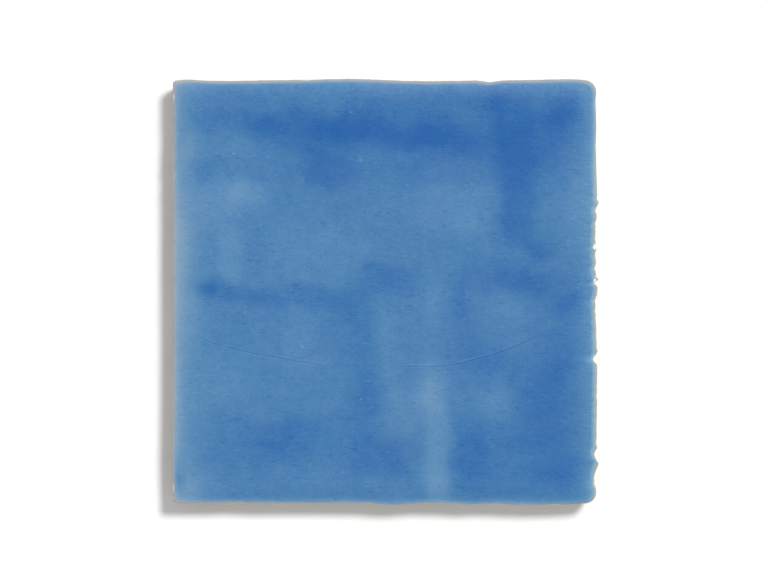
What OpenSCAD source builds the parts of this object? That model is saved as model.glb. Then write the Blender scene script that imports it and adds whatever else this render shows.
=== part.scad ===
// Square wall tile: pressed from clay, trimmed by hand, glazed on its face and fired.
// It lies on its flat back, face up. X runs to the right and Y to the top of the face.

/* [Tile] */
// Side of the square, measured between the straight runs of its edges
tile_side = 130; // [90:1:200]
// Thickness from the flat back to the middle of the face
tile_t = 10; // [7:0.5:20]

/* [Corners] */
// Radius of the top left corner
corner_top_left = 1.2; // [0.8:0.1:8]
// Radius of the top right corner
corner_top_right = 3.6; // [0.8:0.1:8]
// Radius of the bottom right corner
corner_bottom_right = 3.4; // [0.8:0.1:8]
// Radius of the bottom left corner
corner_bottom_left = 1.3; // [0.8:0.1:8]

/* [Edge section] */
// Radius of the arris, where the face turns over into the sides
arris_r = 0.9; // [0.4:0.1:2]
// How far the sides lean in under the face, from the arris to the back
undercut = 1.2; // [0:0.1:3]
// How far the sides bulge out at half their height
belly = 0.15; // [0:0.05:0.5]
// Bevel left round the back by the trimming knife
foot_bevel = 0.7; // [0.3:0.1:1.5]

/* [Face] */
// How far the face has sunk where it meets the arris
roll_drop = 0.55; // [0:0.05:1.2]
// Width of the slumped border along the top, right and bottom edges
roll_w = 5; // [3:0.5:12]
// Width of the slumped border along the left edge
roll_w_left = 9; // [3:0.5:14]
// Height of the face's hand-pressed waves, above and below its mean
wave_h = 0.22; // [0:0.02:0.5]
// Distance from crest to crest of those waves
wave_len = 58; // [40:1:120]

/* [Trimmed outline] */
// Strength of the slow wander in all four edges, 1 as fired
wander = 1; // [0:0.1:2]
// Strength of the teeth and nicks along the torn right edge, 1 as fired
nibble = 1; // [0:0.1:1.5]
// Share of the wander and of the nicks that is left down at the back
low_share = 0.35; // [0:0.05:1]

/* [Hidden] */

half = tile_side / 2;
glaze_blue = [0.31, 0.51, 0.70];

// Dents (negative) and swellings (positive) in each edge, going round against the clock.
// Each row: place along the edge as a share of the half side, reach in mm, size in mm. A row
// of four is steeper on one side: place, reach on its lower side, on its upper side, size.
right_slow = [
    [-0.93, 5, -0.45], [-0.83, 5, -0.3], [-0.45, 14, 0.3], [-0.09, 5, -0.2],
    [0.2, 9, -0.32], [0.46, 6, 0.3], [0.68, 4, -0.08], [0.93, 5, -0.25]
];
top_slow = [
    [-0.97, 7, 0.3], [-0.76, 13, -0.22], [-0.17, 13, 0.4], [0.2, 15, -0.33],
    [0.475, 0.8, 4, -0.25], [0.5, 2.4, -0.35], [0.88, 9, 0.3]
];
left_slow = [
    [-0.75, 12, 0.3], [0.1, 22, 0.08], [0.52, 1.5, 0.3], [0.57, 1.8, -0.3], [0.61, 2, 0.4],
    [0.69, 1.2, 0.2], [0.77, 2.4, -0.26]
];
bottom_slow = [
    [-0.7, 5, -0.3], [-0.3, 12, -0.05], [0.045, 5, 0.6], [0.4, 5, 0.35], [0.53, 4, -0.12], [0.72, 15, 0.55]
];
// The teeth and nicks of the torn edge, in rows of four
right_torn = [
    [-0.957, 1, 0.9, 0.75], [-0.877, 0.9, 0.8, -0.1], [-0.812, 2, 1, 1], [-0.768, 1.2, 1, -0.45],
    [-0.737, 0.4, 0.6, 0.3], [-0.494, 0.6, 0.7, -0.2], [-0.319, 1, 1.2, -0.85], [-0.281, 0.5, 0.6, 0.25],
    [-0.095, 0.7, 1.5, -0.22], [-0.043, 0.8, 0.4, -0.3], [-0.014, 0.4, 1.2, 0.4], [0.018, 1, 0.8, 0.45],
    [0.04, 0.4, 0.5, -0.45], [0.056, 0.25, 0.6, 0.8], [0.08, 0.6, 0.6, 0.2], [0.11, 0.5, 0.5, -0.35],
    [0.135, 0.5, 1, 0.25], [0.203, 0.9, 0.15, 0.45], [0.212, 0.3, 0.35, -0.4], [0.226, 0.15, 0.5, 0.3],
    [0.323, 0.5, 0.5, -0.18], [0.345, 0.3, 1.2, 0.22], [0.389, 0.8, 0.8, -0.3], [0.425, 1.1, 0.3, 0.58]
];

// Points along each edge, from corner to corner, close together where the edge is torn
right_n = 336;
top_n = 64;
left_n = 56;
bottom_n = 56;
// Points round each corner
corner_n = 8;

// Sum of the bell-shaped dents of one edge, at a distance from the edge's middle
function dents(rows, at) =
    len(rows) == 0 ? 0 : sum([for (r = rows)
        let (off = at - r[0] * half, last = len(r) - 1, reach = off < 0 ? r[1] : r[last - 1])
        r[last] * exp(-pow(off / reach, 2))]);
function sum(list, i = 0) = i == len(list) ? 0 : list[i] + sum(list, i + 1);

// Fades the dents out before an edge reaches its corners
corner_fade = 3;
function end_fade(at, r_from, r_to) =
    smooth((half - r_from + at) / corner_fade) * smooth((half - r_to - at) / corner_fade);
function smooth(t) = let (c = min(1, max(0, t))) c * c * (3 - 2 * c);

// One edge: [point, outward direction, slow wander, torn nicks] at each step along it.
// The edge is drawn as the right one, from its bottom to its top, and turned into place.
function edge(n, turn, r_from, r_to, slow, torn, reversed) = [
    for (i = [0 : n - 1])
        let (
            at = -half + r_from + (2 * half - r_from - r_to) * i / n,
            along = reversed ? -at : at,
            keep = end_fade(at, r_from, r_to)
        )
        [spin([half, at], turn), spin([1, 0], turn), keep * dents(slow, along), keep * dents(torn, along)]
];
// One corner, the arc that follows the right edge's top end, turned into place
function corner(n, turn, r) = [
    for (i = [0 : n - 1])
        let (a = 90 * i / n)
        [spin([half - r + r * cos(a), half - r + r * sin(a)], turn), spin([cos(a), sin(a)], turn), 0, 0]
];
function spin(p, a) = [p[0] * cos(a) - p[1] * sin(a), p[0] * sin(a) + p[1] * cos(a)];

outline = concat(
    edge(right_n, 0, corner_bottom_right, corner_top_right, right_slow, right_torn, false),
    corner(corner_n, 0, corner_top_right),
    edge(top_n, 90, corner_top_right, corner_top_left, top_slow, [], true),
    corner(corner_n, 90, corner_top_left),
    edge(left_n, 180, corner_top_left, corner_bottom_left, left_slow, [], true),
    corner(corner_n, 180, corner_bottom_left),
    edge(bottom_n, 270, corner_bottom_left, corner_bottom_right, bottom_slow, [], false),
    corner(corner_n, 270, corner_bottom_right)
);
outline_n = len(outline);

// The outline drawn in by a distance, with a share of its wander and nicks kept
function outline_at(i, inset, share) =
    let (o = outline[i])
    o[0] * (1 - inset / half) + o[1] * share * (wander * o[2] + nibble * o[3]);

// Centre of the finished outline's box, which is put on the origin
rim = [for (i = [0 : outline_n - 1]) outline_at(i, 0, 1)];
rim_x = [for (p = rim) p[0]];
rim_y = [for (p = rim) p[1]];
middle = [(min(rim_x) + max(rim_x)) / 2, (min(rim_y) + max(rim_y)) / 2];

// The two crossing waves of the face: [direction, start, share of the crest distance, strength]
waves = [[19, 40, 0.95, 0.6], [102, -25, 0.78, 0.4]];
function wave(p) =
    wave_h * sum([for (w = waves)
        w[3] * sin(360 * (p[0] * cos(w[0]) + p[1] * sin(w[0])) / (w[2] * wave_len) + w[1])]);

// Way from the face's diagonals in which the left border comes to its own width
left_fade = half / 3;
// Height of the face: a slumped border, widest at the left, round the waves
function face_z(p, inset) =
    let (
        to_left = smooth((-p[0] - abs(p[1])) / left_fade),
        border = roll_w + (roll_w_left - roll_w) * to_left,
        sunk = roll_drop * pow(1 - smooth((inset - arris_r) / border), 2)
    )
    tile_t - sunk + wave(p) * smooth(inset / (2 * border));
arris_z = tile_t - roll_drop - arris_r;

// A ring on the sides, keeping every step-th point of the outline
function side_ring(step, z, inset, share) = [
    for (i = [0 : step : outline_n - 1]) let (p = outline_at(i, inset, share) - middle) [p[0], p[1], z]
];
// A ring on the face
function face_ring(step, inset, share) = [
    for (i = [0 : step : outline_n - 1]) let (p = outline_at(i, inset, share)) [
        p[0] - middle[0], p[1] - middle[1], face_z(p, inset)
    ]
];

// The face's rings, from the arris to the middle: how many of the outline's points there are
// to each of theirs, how far along the way in they lie, and how much of its wander they keep
ring_every_n = [1, 1, 2, 2, 4, 4, 8, 8];
ring_way_share = [0.014, 0.036, 0.07, 0.125, 0.22, 0.34, 0.5, 0.69];
ring_wander_share = [0.9, 0.6, 0.3, 0, 0, 0, 0, 0];
// Depth below the back that the struck-off clay reaches
below = 1;

rings = concat(
    [side_ring(2, -below, undercut + foot_bevel + below, low_share)],
    [side_ring(2, foot_bevel, undercut, low_share)],
    [side_ring(2, (arris_z + foot_bevel) / 2, undercut / 2 - belly, (1 + low_share) / 2)],
    [for (a = [0 : 30 : 90]) side_ring(1, arris_z + arris_r * sin(a), arris_r * (1 - cos(a)), 1)],
    [for (k = [0 : len(ring_every_n) - 1])
        face_ring(ring_every_n[k], arris_r + ring_way_share[k] * (half - arris_r), ring_wander_share[k])]
);
ring_start = [for (i = [0 : len(rings)]) sum([for (j = [0 : 1 : i - 1]) len(rings[j])])];

// Triangles between two rings, one of which may have half the points of the other
function stitch(a, na, b, nb) =
    na == nb ? [for (i = [0 : na - 1], t = [0, 1])
        t == 0 ? [a + i, b + (i + 1) % nb, a + (i + 1) % na] : [a + i, b + i, b + (i + 1) % nb]]
    : na > nb ? [for (i = [0 : nb - 1], t = [0 : 2])
        t == 0 ? [a + 2 * i, b + i, a + 2 * i + 1]
        : t == 1 ? [a + 2 * i + 1, b + i, b + (i + 1) % nb]
        : [a + 2 * i + 1, b + (i + 1) % nb, a + (2 * i + 2) % na]]
    : [for (i = [0 : na - 1], t = [0 : 2])
        t == 0 ? [a + i, b + 2 * i, b + 2 * i + 1]
        : t == 1 ? [a + i, b + 2 * i + 1, a + (i + 1) % na]
        : [a + (i + 1) % na, b + 2 * i + 1, b + (2 * i + 2) % nb]];

// The whole skin, from a ring below the back to the middle of the face
module skin() {
    count = len(rings);
    first = len(rings[0]);
    last = len(rings[count - 1]);
    face_middle = [-middle[0], -middle[1], face_z([0, 0], half)];
    tip = ring_start[count];
    polyhedron(
        points = concat([for (r = rings) each r], [face_middle]),
        faces = concat(
            [[for (i = [0 : first - 1]) i]],
            [for (k = [0 : count - 2])
                each stitch(ring_start[k], len(rings[k]), ring_start[k + 1], len(rings[k + 1]))],
            [for (i = [0 : last - 1])
                [ring_start[count - 1] + i, tip, ring_start[count - 1] + (i + 1) % last]]
        )
    );
}

// The fired tile, struck off flat at the back
module tile() {
    color(glaze_blue)
        difference() {
            skin();
            translate([0, 0, -2 * below])
                cube([2 * tile_side, 2 * tile_side, 4 * below], center = true);
        }
}

tile();
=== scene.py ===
import math

import bpy
import numpy as np
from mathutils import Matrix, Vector, noise
from mathutils.bvhtree import BVHTree


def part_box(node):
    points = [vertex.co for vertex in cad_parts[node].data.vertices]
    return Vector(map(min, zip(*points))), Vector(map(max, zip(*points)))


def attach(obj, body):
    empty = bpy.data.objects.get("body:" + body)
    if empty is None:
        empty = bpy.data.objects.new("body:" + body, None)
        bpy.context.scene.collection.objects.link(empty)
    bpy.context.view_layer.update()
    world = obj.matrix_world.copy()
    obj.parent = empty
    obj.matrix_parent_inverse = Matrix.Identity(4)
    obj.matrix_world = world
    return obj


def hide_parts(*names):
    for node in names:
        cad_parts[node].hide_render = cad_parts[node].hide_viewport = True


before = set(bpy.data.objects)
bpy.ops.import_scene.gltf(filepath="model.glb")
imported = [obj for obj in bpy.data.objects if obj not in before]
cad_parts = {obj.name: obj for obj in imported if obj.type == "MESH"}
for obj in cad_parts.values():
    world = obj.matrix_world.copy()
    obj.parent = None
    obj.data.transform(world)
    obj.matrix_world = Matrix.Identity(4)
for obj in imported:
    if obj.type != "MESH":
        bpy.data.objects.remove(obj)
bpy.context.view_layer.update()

# The tile.
# One square of buff clay, pressed by hand into a frame, then cut round with a knife and off its
# block with a wire. The blue glaze is fused onto it in the firing, so clay and glaze are one piece.
MM = 0.001
low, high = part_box("tile")
pressed_solid = BVHTree.FromObject(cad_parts["tile"], bpy.context.evaluated_depsgraph_get())
slab_w = high.x - low.x
slab_d = high.y - low.y
slab_t = high.z
arris_r = 0.9 * MM
arris_foot_z = 8.55 * MM
arris_strip = 1.15 * MM

# The face starts as one grid, inside the strip that the arris takes
face_columns = 150
face_rows = 420
bpy.ops.object.select_all(action="DESELECT")
bpy.ops.mesh.primitive_grid_add(
    x_subdivisions=face_columns, y_subdivisions=face_rows, size=1, location=(0, 0, slab_t)
)
tile = bpy.context.object
tile.name = "glazed_tile"
tile.scale = (slab_w - 2 * arris_strip, slab_d - 2 * arris_strip, 1)
bpy.ops.object.transform_apply(location=True, rotation=False, scale=True)

# Its edge loop is extruded over the arris and down the sides, to each of these heights in mm
edge_heights = [
    9.41, 9.35, 9.25, 9.1, 8.9, 8.7, 8.5, 8.25, 7.9, 7.5, 7.1, 6.7, 6.2, 5.7, 5.2, 4.7, 4.2, 3.6, 3.0,
    2.4, 1.8, 1.2, 0.7, 0.35, 0.0
]
bpy.ops.object.mode_set(mode="EDIT")
bpy.ops.mesh.select_all(action="SELECT")
bpy.ops.mesh.region_to_loop()
z_now = slab_t
for height in edge_heights:
    bpy.ops.mesh.extrude_edges_move(
        TRANSFORM_OT_translate={"value": (0, 0, height * MM - z_now)}
    )
    z_now = height * MM
bpy.ops.object.mode_set(mode="OBJECT")

# The back is a coarser grid of its own, bridged to the last loop
face_per_back = 5
back_strip = 5 * MM
bpy.ops.object.select_all(action="DESELECT")
bpy.ops.mesh.primitive_grid_add(
    x_subdivisions=face_columns // face_per_back, y_subdivisions=face_rows // face_per_back,
    size=1, location=(0, 0, 0)
)
back = bpy.context.object
back.scale = (slab_w - 2 * back_strip, slab_d - 2 * back_strip, 1)
bpy.ops.object.transform_apply(location=True, rotation=False, scale=True)
back.data.flip_normals()
tile.select_set(True)
bpy.context.view_layer.objects.active = tile
bpy.ops.object.join()
bpy.ops.object.mode_set(mode="EDIT")
bpy.ops.mesh.select_all(action="DESELECT")
bpy.ops.mesh.select_mode(type="EDGE")
bpy.ops.mesh.select_non_manifold(extend=False, use_boundary=True)
bpy.ops.mesh.bridge_edge_loops()
bpy.ops.mesh.select_all(action="SELECT")
bpy.ops.mesh.normals_make_consistent(inside=False)
bpy.ops.object.mode_set(mode="OBJECT")

# Every point is then laid on the pressed solid: the edge loops from outside, level by level, and
# the face from above, where the outline's wander fades out over the border. The sides are a
# little rough from the knife, and the right one is torn into fine teeth besides.
wander_fade = 7 * MM
points = np.empty(len(tile.data.vertices) * 3)
tile.data.vertices.foreach_get("co", points)
points = points.reshape(-1, 3)
is_face = points[:, 2] > slab_t - 0.01 * MM
back_inset = 1.5 * MM
is_back = (points[:, 2] < 0.01 * MM) & (np.abs(points[:, 0]) < slab_w / 2 - back_inset) & (
    np.abs(points[:, 1]) < slab_d / 2 - back_inset
)


def reach(direction, height):
    """Distance from the tile's middle line to its side, along a level direction."""
    start = Vector((direction.x * 0.2, direction.y * 0.2, height))
    hit = pressed_solid.ray_cast(start, -direction)[0]
    return Vector((hit.x, hit.y)).length


def step(value, start, end):
    """0 up to start, 1 from end on, and a smooth rise between them."""
    t = min(1.0, max(0.0, (value - start) / (end - start)))
    return t * t * (3 - 2 * t)


def trimmed(x, y, z):
    """How far the knife and the tear went into the side at a place, in metres."""
    spot = Vector((x, y, z)) / MM
    depth = 0.09 * noise.fractal(spot / 1.6, 0.7, 2.2, 5)
    torn_here = step(spot.x, 62, 64) * step(spot.y, -63, -60) * (1 - step(spot.y, 28, 33))
    if torn_here > 0:
        flutes = 0.1 * noise.noise(Vector((3, spot.y / 0.8, spot.z / 5)))
        teeth = 0.35 * max(0.0, noise.noise(Vector((9, spot.y / 1.5, spot.z / 7))) - 0.15)
        depth += torn_here * (flutes + teeth) * (0.4 + 0.6 * step(spot.z, 2, 5))
    return depth * MM


# edge_run is the way along the surface up from the arris's foot, below 0 on the side, and
# inset is how far in from the outline a point lies, as seen from above
edge_run = np.full(len(points), -10 * MM)
inset = np.zeros(len(points))
lowest_cast = 0.02 * MM
for i, (x, y, z) in enumerate(points):
    if is_back[i]:
        continue
    direction = Vector((x, y, 0)).normalized() if abs(x) + abs(y) > 0 else Vector((1, 0, 0))
    per_square = max(abs(direction.x) / (slab_w / 2), abs(direction.y) / (slab_d / 2))
    if is_face[i]:
        inset[i] = (1 - math.hypot(x, y) * per_square) * slab_w / 2
        edge_run[i] = inset[i] - arris_r + arris_r * math.pi / 2
        keep = max(0.0, 1 - (inset[i] - arris_strip) / wander_fade) ** 2
        if keep > 0:
            side = reach(direction, arris_foot_z)
            side -= keep * trimmed(direction.x * side, direction.y * side, arris_foot_z)
            stretch = 1 + (side * per_square - 1) * keep
            x, y = x * stretch, y * stretch
        hit = pressed_solid.ray_cast(Vector((x, y, 0.05)), Vector((0, 0, -1)))[0]
        points[i] = (x, y, hit.z)
    else:
        side = reach(direction, max(z, lowest_cast))
        side -= trimmed(direction.x * side, direction.y * side, z)
        points[i] = (direction.x * side, direction.y * side, z)
        turned = math.asin(min(1.0, max(0.0, (z - arris_foot_z) / arris_r)))
        inset[i] = arris_r * (1 - math.cos(turned))
        edge_run[i] = arris_r * turned if turned > 0 else z - arris_foot_z

# Chips are shallow scoops out of the arris. Each row: place in mm, then the reach across the
# arris, the reach along it and the depth in mm, and how white its painted glint is, 0 to 1:
# a near-white colour in the chip that stands in for a highlight.
chips = [
    (64.9, -20.6, 9.3, 1.0, 1.2, 0.08, 1), (64.8, 25.8, 9.3, 0.6, 0.8, 0.1, 0),
    (64.7, -2.6, 9.3, 0.6, 0.9, 0.1, 0), (64.3, 14.0, 9.4, 0.5, 1.1, 0.08, 1),
    (64.4, 3.2, 9.4, 0.5, 1.1, 0.08, 1), (64.6, -56.6, 9.2, 0.7, 1.0, 0.15, 0),
    (-65.1, 59.8, 9.15, 0.36, 1.7, 0.1, 1), (-65.2, -60.2, 9.15, 0.36, 1.7, 0.1, 1),
    (-64.9, -63.2, 9.15, 0.3, 0.8, 0.08, 1), (-65.2, 44.5, 9.0, 0.3, 0.8, 0.06, 0.5),
    (-17.0, -65.0, 9.0, 0.3, 0.6, 0.06, 0.3), (6.5, -65.4, 9.0, 0.35, 0.7, 0.06, 0.3),
    (-43.0, 65.1, 9.2, 0.3, 0.5, 0.05, 0.3), (33.0, 64.8, 9.1, 0.4, 0.9, 0.08, 0.2),
]
chipped = np.zeros(len(points))
chip_glint = np.zeros(len(points))
ragged = 0.45
ragged_cell = 0.5 * MM
for x, y, z, across, along, depth, glint in chips:
    on_end = abs(y) > 63
    reaches = np.array((along if on_end else across, across if on_end else along, across)) * MM
    away = np.linalg.norm((points - np.array((x, y, z)) * MM) / reaches, axis=1)
    for i in np.flatnonzero(away < 2):
        away[i] += ragged * noise.noise(Vector(points[i]) / ragged_cell)
    inward = -np.array((0 if on_end else x / abs(x), y / abs(y) if on_end else 0, 0.8)) / 1.28
    points += np.clip(1 - away**2, 0, 1)[:, None] ** 0.7 * depth * MM * inward
    chipped = np.maximum(chipped, np.clip(1.3 - away, 0, 1))
    # Painted glint: how far each chip's clay is whitened, standing in for a highlight.
    chip_glint = np.maximum(chip_glint, glint * np.clip(1.6 - away, 0, 1))
points[:, 0] = np.clip(points[:, 0], low.x, high.x)
points[:, 1] = np.clip(points[:, 1], low.y, high.y)
tile.data.vertices.foreach_set("co", points.ravel())
tile.data.update()

# The firing softened all of it a little, and the melting glaze levelled the ridges that the
# teeth would leave in the face's border
glazed_border = tile.vertex_groups.new(name="glazed_border")
in_border = (inset > 1.2 * MM) & (inset < 12 * MM)
glazed_border.add([int(i) for i in np.flatnonzero(in_border)], 1, "REPLACE")
bpy.ops.object.select_all(action="DESELECT")
tile.select_set(True)
bpy.context.view_layer.objects.active = tile
for name, passes, group in (("fired_soft", 1, ""), ("glaze_level", 25, glazed_border.name)):
    smoothing = tile.modifiers.new(name, "SMOOTH")
    smoothing.factor = 0.5
    smoothing.iterations = passes
    smoothing.vertex_group = group
    bpy.ops.object.modifier_apply(modifier=name)
bpy.ops.object.shade_smooth()

# The glaze was poured and brushed on by hand, so it pools in soft patches and runs thin in
# others. Each vertex keeps its thickness: above 0 a dark pool, below 0 a pale thin place.
# Each row: middle x and y and reach along x and y in mm, how much thicker, and how square
# the patch is, 2 for a soft round one and 6 for a brush mark with straight sides.
glaze_flow = [
    (-38, 52, 9, 4, 0.4, 2), (-20, 51, 24, 6, 0.45, 2), (-13, 50, 9, 4, 0.35, 2),
    (6, 48, 14, 5, 0.6, 2), (23, 46, 12, 6, 0.65, 2), (10, 57, 24, 4, 0.2, 4),
    (0, 49, 34, 5, 0.18, 4), (39, 46, 6.5, 12, 0.6, 4), (40, 40, 6, 4, 0.25, 2),
    (49, 44, 8, 9, 0.55, 2), (54, 54, 7, 5, 0.75, 2), (33, 58, 5, 4, 0.5, 2),
    (46, 55, 8, 5, 0.2, 2), (-18, 38, 7, 7, 0.4, 4), (-26, 45, 8, 5, 0.2, 2),
    (2, 37, 32, 5, 0.2, 4), (-56, 54, 8, 6, 0.35, 2), (-55, 38, 6, 4, 0.35, 2),
    (-43.5, 30.5, 7, 4, -0.5, 3), (-52, 27, 8, 8, -0.35, 2), (-45, 45, 8, 4, -0.2, 2),
    (-48, 11, 4, 9, -0.35, 4), (-22, 12, 14, 10, -0.2, 4), (-7, 13, 3, 3, -0.2, 2),
    (-54, 1.6, 4.6, 2.8, 0.6, 2), (-45, -1, 8, 2.5, 0.25, 4), (-28, -1.5, 20, 3.5, 0.25, 4),
    (-12, -5, 8, 5, 0.2, 2), (1, 4, 10, 5, 0.3, 4), (30, 6, 8, 4, 0.35, 2), (42, 3, 10, 4, 0.65, 2),
    (47, 13, 4, 4, 0.45, 2), (40.5, 25, 6, 11, 0.55, 4), (23, -4, 3, 6, 0.35, 2),
    (37, -6, 7, 3, -0.2, 2), (54, -3, 6, 5, 0.45, 2), (52, -20, 7, 12, 0.35, 2),
    (48, -36, 9, 12, 0.5, 2), (54, -55, 8, 5, 0.4, 2), (40, -52, 18, 11, 0.3, 4),
    (26, -48, 5, 12, 0.3, 4), (25, -16, 7, 8, 0.3, 2), (34, -23, 10, 5, 0.25, 2),
    (33, -35, 5, 5, -0.3, 2), (15.5, -46, 3.8, 20, -0.45, 4), (15, -34, 6, 5, -0.1, 2),
    (15, -60, 3.5, 5, -0.3, 2), (13, -30, 4, 8, -0.45, 2), (14, -3, 3, 7, -0.25, 2),
    (0, -11, 3, 7, -0.35, 2), (1, -24, 4, 8, -0.2, 2), (6, -36, 6, 8, -0.25, 4),
    (-48, -29, 8, 8, -0.2, 2), (-27, -17, 5, 8, -0.2, 4), (-8, -15, 5, 10, 0.25, 2),
    (-6, -33, 5, 9, 0.35, 2), (-31, -45, 10, 6, 0.25, 4), (-34, -46, 27, 8, 0.15, 6),
    (-2, -51, 10, 7, 0.35, 4), (20, 26, 10, 8, -0.2, 4), (26, 21, 4, 3, -0.2, 2),
    (58, 25, 4, 11, -0.35, 2), (-60, -6, 4, 8, -0.3, 2), (-61, 44, 3, 7, -0.3, 2),
    (-62, 15, 3.5, 14, -0.45, 2), (-60, -61, 5, 4, -0.4, 2), (63, 26, 1.2, 1, -0.7, 2),
    (63, -3.2, 1.2, 1, -0.6, 2), (62.8, -20.6, 1.5, 1.5, -0.7, 2), (63.5, -59.5, 2.5, 4.5, -0.6, 2),
    (-64.2, -57.5, 2.4, 6, 0.8, 2), (-64, 46, 2.2, 14, 0.3, 2),
]
face_x = points[:, 0] / MM
face_y = points[:, 1] / MM
brushed_x = face_x - 0.2 + 0.35 * np.sin(0.35 * face_y + 1) + 0.25 * np.sin(0.9 * face_y)
brushed_y = face_y + 0.6 * np.sin(0.3 * face_x) + 0.4 * np.sin(0.8 * face_x + 2)
glaze = np.zeros(len(points))
flow_strength = 1.15
for x, y, reach_x, reach_y, amount, squareness in glaze_flow:
    away = np.abs((brushed_x - x) / reach_x) ** squareness
    away += np.abs((brushed_y - y) / reach_y) ** squareness
    glaze += flow_strength * amount * np.exp(-away)

# It thins towards each edge. Each row: how far off that edge is, how much, within what width.
from_left = face_x + 65.2
from_right = 64.8 - face_x
from_top = 65.0 - face_y
from_bottom = face_y + 64.9
thinning = [
    (from_left, 2.0, 4.6), (from_left, 1.3, 0.7),
    (from_right, 2.9, 0.95), (from_right, -0.22, 4.0),
    (from_top, 3.4, 0.9), (from_top, -0.3, 4.0),
    (from_bottom, 2.7, 0.6), (from_bottom, 0.25, 4.0),
]
outline_wander = inset / MM - np.min([from_left, from_right, from_top, from_bottom], axis=0)
wander_width = 3
for from_edge, amount, width in thinning:
    wandering = from_edge + outline_wander * np.exp(-np.abs(from_edge) / wander_width)
    glaze -= amount * np.exp(-np.maximum(wandering, 0) / width)

kept_values = {
    "glaze_thickness": glaze,
    "edge_run": edge_run / MM,
    "chipped": chipped,
    "chip_glint": chip_glint,
}
for name, values in kept_values.items():
    attribute = tile.data.attributes.new(name, "FLOAT", "POINT")
    attribute.data.foreach_set("value", values.astype(np.float32))

# The fired surface is one material: satin blue glaze, thin and greyish at its hem on the arris,
# and below that the bare buff clay of the sides and back
material = bpy.data.materials.new("blue_glaze_on_buff_clay")
material.use_nodes = True
tree = material.node_tree
shader = tree.nodes["Principled BSDF"]


def add(kind, settings=None, **sockets):
    """A shader node with its settings, and each named or numbered socket set or linked."""
    made = tree.nodes.new(kind)
    for name, value in (settings or {}).items():
        setattr(made, name, value)
    for name, value in sockets.items():
        socket = made.inputs[int(name[1:])] if name[1:].isdigit() else made.inputs[name.replace("_", " ")]
        if isinstance(value, bpy.types.NodeSocket):
            tree.links.new(value, socket)
        else:
            socket.default_value = value
    return made


def reckon(operation, a, b=0.0):
    """A Math node. Its two sockets share one name, so they are given by number."""
    return add("ShaderNodeMath", {"operation": operation}, _0=a, _1=b).outputs[0]


def plus(a, b):
    return reckon("ADD", a, b)


def minus(a, b):
    return reckon("SUBTRACT", a, b)


def times(a, b):
    return reckon("MULTIPLY", a, b)


def rest_of(share):
    return minus(1.0, share)


def above(value, level):
    """What is left of a value over a level, and 0 below it."""
    return reckon("MAXIMUM", minus(value, level), 0.0)


def between(value, start, end):
    """0 below start, 1 above end, and a smooth step between them."""
    made = add(
        "ShaderNodeMapRange", {"interpolation_type": "SMOOTHSTEP"},
        Value=value, From_Min=start, From_Max=end
    )
    return made.outputs["Result"]


def mixed(share, first, second):
    """One value or colour going over into another."""
    is_value = isinstance(second, (int, float)) or getattr(second, "type", "") == "VALUE"
    made = add("ShaderNodeMix", {"data_type": "FLOAT" if is_value else "RGBA"})
    sockets = (0, 2, 3) if is_value else (0, 6, 7)
    for socket, value in zip(sockets, (share, first, second)):
        if isinstance(value, bpy.types.NodeSocket):
            tree.links.new(value, made.inputs[socket])
        else:
            made.inputs[socket].default_value = value
    return made.outputs[0 if is_value else 2]


def grain(cell_x, cell_y, cell_z, detail=2.0, roughness=0.5, curl=0.0, turn=0.0):
    """Noise in -1 to 1 with a cell of these millimetres along X, Y and Z, turned in degrees."""
    mapped = add("ShaderNodeMapping", {"vector_type": "TEXTURE"}, Vector=place)
    mapped.inputs["Rotation"].default_value[2] = math.radians(turn)
    mapped.inputs["Scale"].default_value = (cell_x * MM, cell_y * MM, cell_z * MM)
    made = add(
        "ShaderNodeTexNoise", Vector=mapped.outputs[0],
        Scale=1.0, Detail=detail, Roughness=roughness, Distortion=curl
    )
    return times(minus(made.outputs[0], 0.5), 2.0)


def scatter(cell_x, cell_y, cell_z):
    """Scattered spots in cells of these millimetres: how far off one is, and its own two lots."""
    mapped = add("ShaderNodeMapping", Vector=place)
    mapped.inputs["Scale"].default_value = (1 / (cell_x * MM), 1 / (cell_y * MM), 1 / (cell_z * MM))
    cells = add("ShaderNodeTexVoronoi", Vector=mapped.outputs[0], Scale=1.0)
    lots = add("ShaderNodeSeparateColor", Color=cells.outputs["Color"])
    return cells.outputs["Distance"], lots.outputs[0], lots.outputs[1]


def kept_on_tile(name):
    return add("ShaderNodeAttribute", {"attribute_name": name}).outputs["Fac"]


place = add("ShaderNodeTexCoord").outputs["Object"]
axes = add("ShaderNodeSeparateXYZ", Vector=place)
x_mm = times(axes.outputs["X"], 1000)
y_mm = times(axes.outputs["Y"], 1000)
run_mm = kept_on_tile("edge_run")

# The glaze ends in a wandering line on the arris, and runs over it here and there. Along the
# torn stretch it was pulled off with the clay, and it is gone where the arris is chipped.
torn = times(between(x_mm, 62, 63.5), between(y_mm, -64, -61))
torn = times(torn, rest_of(between(y_mm, 26, 30)))
wander = grain(1.6, 1.6, 2, detail=4)
pulled_off = times(torn, plus(0.25, times(grain(3, 3, 3), 0.7)))
run_over = times(plus(0.45, times(grain(7, 7, 60, detail=2), 1.2)), rest_of(torn))
chipped_off = times(between(kept_on_tile("chipped"), 0.3, 0.7), 3.0)
glaze_edge = plus(plus(run_mm, times(wander, 0.35)), run_over)
glaze_edge = minus(minus(glaze_edge, pulled_off), chipped_off)
glazed = between(glaze_edge, 0.3, 0.85)

# Pits: tiny dimples, wider than they are tall, in some places thick together. Very few of
# them are a light speck instead.
pit_away, pit_lot = scatter(1.5, 0.9, 1.2)[:2]
crowding = times(grain(14, 9, 9, detail=1), 0.3)
pit = times(between(plus(pit_lot, crowding), 0.55, 0.75), rest_of(between(pit_away, 0.02, 0.3)))
speck = times(rest_of(between(pit_away, 0.1, 0.4)), between(rest_of(pit_lot), 0.9975, 0.999))

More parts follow.
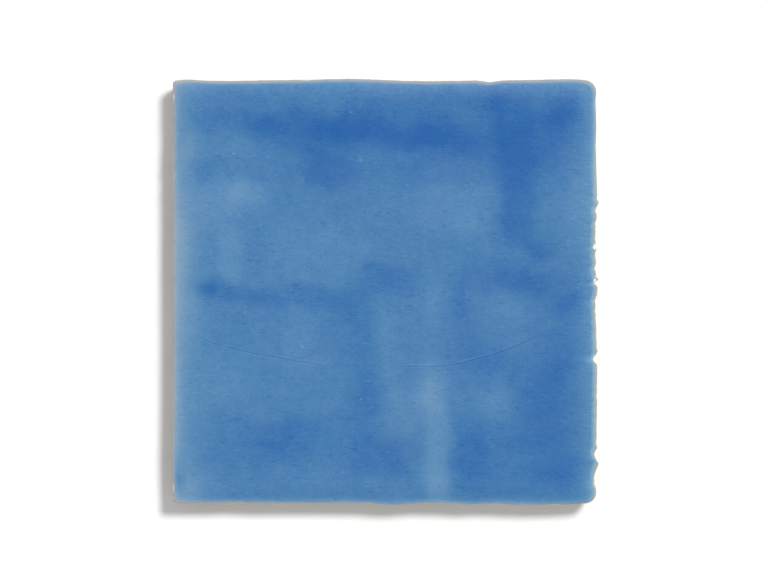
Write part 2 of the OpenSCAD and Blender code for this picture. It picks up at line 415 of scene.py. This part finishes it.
# The crease: a hairline fold of the pressed clay with a raised lip, crossing the face in a
# shallow arc through these places in mm, and faint in its middle and towards its ends
crease_path = [
    (-62, -7), (-60.2, -9.9), (-55.5, -14.6), (-49, -16.9), (-34.9, -19.7), (-17, -22.4),
    (-7, -22.9), (6.7, -22.8), (18.4, -22.7), (22.7, -21.9), (35, -18.5), (43.3, -15.1), (52, -10),
]
curve_w = 130
curve_d = 25
arc = add("ShaderNodeFloatCurve", Value=reckon("DIVIDE", plus(x_mm, curve_w / 2), curve_w))
curve = arc.mapping.curves[0]
curve.points[0].location = (0, 1)
curve.points[1].location = (1, 1)
for x, y in crease_path:
    curve.points.new((x + curve_w / 2) / curve_w, (y + curve_d) / curve_d)
arc.mapping.update()
off_crease = minus(y_mm, minus(times(arc.outputs[0], curve_d), curve_d))
off_crease = plus(off_crease, times(grain(7, 7, 7), 0.4))
folded = times(between(reckon("ABSOLUTE", x_mm), 3, 9), between(x_mm, -61, -57))
folded = times(folded, rest_of(between(x_mm, 40, 52)))
crease = rest_of(between(reckon("ABSOLUTE", off_crease), 0.04, 0.2))
crease = times(crease, times(folded, between(grain(12, 60, 60), -0.5, 0.1)))
crease_lip = rest_of(between(reckon("ABSOLUTE", minus(off_crease, 0.45)), 0.05, 0.35))
crease_lip = times(crease_lip, times(folded, between(grain(9, 50, 60), -0.1, 0.4)))

# Strokes: the short marks that the brush left in the glaze, most of them level. Each row:
# the slant in degrees, and how much thicker or thinner the glaze is in the mark.
strokes = above(grain(2.2, 0.6, 3, detail=0, turn=-5), 0.3)
for slant, share in ((4, -1.0), (-35, 0.5), (38, -0.5), (38, 0.4)):
    stroke = above(grain(2, 0.6, 3 + share, detail=0, turn=slant), 0.32)
    strokes = plus(strokes, times(stroke, share))

# The blue goes with the thickness, which each of these marks changes by so much. The pits are
# darkened this way too, a painted shade in each dimple. What ran over the arris lies thick again.
thickness = kept_on_tile("glaze_thickness")
for mark, amount in (
    (grain(7, 4.5, 10, detail=1, curl=0.6), 0.22),
    (grain(2.6, 3.0, 10, detail=1, curl=0.6), 0.12),
    (grain(1.6, 1.3, 1.6, detail=2), 0.15),
    (grain(0.7, 0.6, 0.7, detail=1), 0.2),
    (strokes, 0.85),
    (speck, -1.6),
    (pit, 0.6),
    (crease, 0.4),
    (crease_lip, -0.5),
    (rest_of(between(run_mm, -1.2, -0.1)), 2.2),
):
    thickness = plus(thickness, times(mark, amount))
thinnest = -3.0
thickest = 1.5
thick_share = reckon("DIVIDE", minus(thickness, thinnest), thickest - thinnest)
blue = add("ShaderNodeValToRGB", Fac=thick_share)
stops = blue.color_ramp.elements
stops[0].color = (0.290, 0.325, 0.362, 1)
stops[1].color = (0.0, 0.085, 0.330, 1)
for position, colour in (
    (0.111, (0.269, 0.344, 0.412, 1)),
    (0.222, (0.211, 0.325, 0.439, 1)),
    (0.333, (0.159, 0.290, 0.439, 1)),
    (0.444, (0.112, 0.249, 0.423, 1)),
    (0.556, (0.076, 0.213, 0.405, 1)),
    (0.667, (0.046, 0.171, 0.374, 1)),
    (0.778, (0.020, 0.129, 0.353, 1)),
    (0.889, (0.003, 0.097, 0.336, 1)),
):
    stops.new(position).color = colour

# The hem: the glaze's last millimetre is grey at the top and right edge, where it is wider,
# and pale at the left and front one, partly thin glaze and partly a painted light that lifts the
# shade on these two edges, which face away from the lamp. Along the tear it ends in a dull
# greenish fringe instead.
hem_grey = (0.35, 0.34, 0.315, 1)
hem_painted_light = (0.51, 0.51, 0.53, 1)
fringe_green = (0.34, 0.405, 0.375, 1)
on_left = rest_of(between(x_mm, -64, -61))
on_front = times(rest_of(between(y_mm, -64, -61)), rest_of(between(x_mm, 45, 58)))
rim = times(minus(between(run_mm, -0.6, 0.1), between(run_mm, 0.6, 1.3)), rest_of(torn))
hem_end = mixed(between(y_mm, -64, -60), 1.2, mixed(between(y_mm, 60, 64), 1.55, 1.85))
hem_end = plus(hem_end, times(grain(9, 9, 9, detail=2), 0.5))
hem = times(rest_of(between(run_mm, minus(hem_end, 1.0), hem_end)), rest_of(torn))
hem = mixed(on_left, hem, rim)
hem_colour = mixed(reckon("MAXIMUM", on_left, on_front), hem_grey, hem_painted_light)
skin = mixed(times(hem, 0.6), blue.outputs[0], hem_colour)
fringe = rest_of(between(plus(run_mm, times(wander, 0.8)), 1.2, 2.6))
fringe = times(fringe, times(between(x_mm, 60, 62), between(y_mm, -64, -50)))
fringe = times(fringe, rest_of(between(y_mm, 30, 55)))
skin = mixed(times(fringe, 0.5), skin, fringe_green)

# Broad clouds of a greyer and a greener blue, and teal towards the torn edge
cloud_grey = (0.095, 0.20, 0.36, 1)
cloud_green = (0.055, 0.24, 0.36, 1)
teal = (0.11, 0.32, 0.35, 1)
cloud = times(grain(16, 13, 16, detail=1), 0.25)
skin = mixed(reckon("MAXIMUM", cloud, 0.0), skin, cloud_grey)
skin = mixed(times(reckon("MINIMUM", cloud, 0.0), -1.0), skin, cloud_green)
skin = mixed(times(between(x_mm, 57, 62.5), 0.1), skin, teal)

# The clay is a light buff with darker grit in it and olive where it is torn. On the arris it is
# made paler, a painted light, and in some chips near-white, a painted glint.
buff_dark = (0.42, 0.375, 0.305, 1)
buff_light = (0.60, 0.555, 0.475, 1)
grit_brown = (0.22, 0.18, 0.13, 1)
torn_olive = (0.30, 0.31, 0.28, 1)
arris_painted_light = (0.70, 0.67, 0.65, 1)
glint_white = (0.80, 0.78, 0.78, 1)
clay = mixed(between(grain(11, 11, 11, detail=8, roughness=0.68), -0.45, 0.5), buff_dark, buff_light)
clay = mixed(times(between(grain(0.8, 0.8, 0.8, detail=2), 0.3, 0.5), 0.45), clay, grit_brown)
olive = times(torn, plus(0.45, times(between(grain(1.5, 1.5, 4, detail=3), -0.2, 0.4), 0.45)))
clay = mixed(olive, clay, torn_olive)
# Painted light: the clay on the arris is made paler all round, to lift the shade on its sides that face
# away from the lamp.
clay = mixed(times(rim, 0.6), clay, arris_painted_light)
# Painted glint: near-white colour in some chips stands in for highlights on them.
clay = mixed(between(kept_on_tile("chip_glint"), 0.25, 0.55), clay, glint_white)
tree.links.new(mixed(glazed, clay, skin), shader.inputs["Base Color"])

# Thick glaze is glossy, thin glaze and the fringe are drier, and bare clay is dull
glaze_dryness = mixed(fringe, mixed(between(thickness, -2.0, 0.0), 0.6, 0.42), 0.7)
tree.links.new(mixed(glazed, 0.85, glaze_dryness), shader.inputs["Roughness"])
shader.inputs["Specular IOR Level"].default_value = 0.35

# Relief of the glaze, in mm: its orange peel, strokes, pits and crease, and how much higher
# it lies than the clay at its lip
glaze_lip = 0.12
glaze_relief = times(grain(1.1, 0.9, 1.1, detail=2), 0.017)
glaze_relief = plus(glaze_relief, times(grain(3.2, 2.6, 3.2, detail=1), 0.035))
for mark, depth in ((strokes, 0.03), (pit, 0.035), (crease, 0.06)):
    glaze_relief = minus(glaze_relief, times(mark, depth))
glaze_relief = plus(glaze_relief, glaze_lip)

# Relief of the clay, in mm: grit and pores, the knife's upright drag marks on the sides and
# the wire's long ones on the back
pore_away, _, pore_lot = scatter(2.2, 2.2, 2.2)
pore = times(rest_of(between(pore_away, 0.05, 0.22)), between(pore_lot, 0.6, 0.9))
grit = times(grain(0.6, 0.6, 0.6, detail=3, roughness=0.65), 0.085)
grit = minus(plus(grit, times(grain(4, 4, 4, detail=4), 0.12)), times(pore, 0.2))
knife_marks = times(grain(0.6, 0.6, 7, detail=3), 0.11)
wire_marks = times(grain(70, 0.9, 5, detail=3), 0.16)
on_back = rest_of(between(run_mm, -9.6, -9.0))
clay_relief = plus(grit, mixed(on_back, knife_marks, wire_marks))
relief = add(
    "ShaderNodeBump", Height=mixed(glazed, clay_relief, glaze_relief), Strength=1.0, Distance=MM
)
tree.links.new(relief.outputs[0], shader.inputs["Normal"])

tile.data.materials.clear()
tile.data.materials.append(material)

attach(tile, "root")
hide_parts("tile")

# The table, the lamp and the camera.
# A plain white table top under one soft lamp at the upper right, seen from straight above.
bpy.ops.object.select_all(action="DESELECT")
bpy.ops.mesh.primitive_plane_add(size=6, location=(0, 0, 0))
floor = bpy.context.object
floor.name = "floor"
floor_paint = bpy.data.materials.new("white_table")
floor_paint.use_nodes = True
paint_sockets = floor_paint.node_tree.nodes["Principled BSDF"].inputs
paint_sockets["Base Color"].default_value = (0.9, 0.9, 0.9, 1)
paint_sockets["Roughness"].default_value = 1
paint_sockets["Specular IOR Level"].default_value = 0
floor.data.materials.append(floor_paint)

world = bpy.data.worlds.new("studio")
world.use_nodes = True
world.node_tree.nodes["Background"].inputs["Color"].default_value = (1, 1, 1, 1)
world.node_tree.nodes["Background"].inputs["Strength"].default_value = 0.52
bpy.context.scene.world = world

lamp_data = bpy.data.lights.new("softbox", "SUN")
lamp_data.energy = 2.54
lamp_data.angle = math.radians(15)
lamp = bpy.data.objects.new("softbox", lamp_data)
bpy.context.scene.collection.objects.link(lamp)
lamp_from = Vector((0.505, 0.505, 1.0))
lamp.rotation_mode = "QUATERNION"
lamp.rotation_quaternion = lamp_from.to_track_quat("Z", "Y")

# The lens makes the tile's outline as wide in the picture as it is in the photo, and the
# camera stands off the tile's middle by as much as the photo's middle does
photo_w = 768
photo_middle = (384.0, 292.5)
tile_in_photo = (385.4, 292.05)
mm_per_pixel = 130 / 423.3
outline_z = 8.5 * MM
camera_h = 1.5
sensor_w = 36
camera_data = bpy.data.cameras.new("camera")
camera_data.sensor_width = sensor_w
camera_data.lens = sensor_w * (camera_h - outline_z) / (photo_w * mm_per_pixel * MM)
camera_data.clip_start = 0.1
camera_data.clip_end = 10
camera = bpy.data.objects.new("camera", camera_data)
camera.location = (
    (photo_middle[0] - tile_in_photo[0]) * mm_per_pixel * MM,
    (tile_in_photo[1] - photo_middle[1]) * mm_per_pixel * MM,
    camera_h,
)
bpy.context.scene.collection.objects.link(camera)
bpy.context.scene.camera = camera
bpy.context.scene.view_settings.view_transform = "Standard"
bpy.context.scene.view_settings.look = "None"
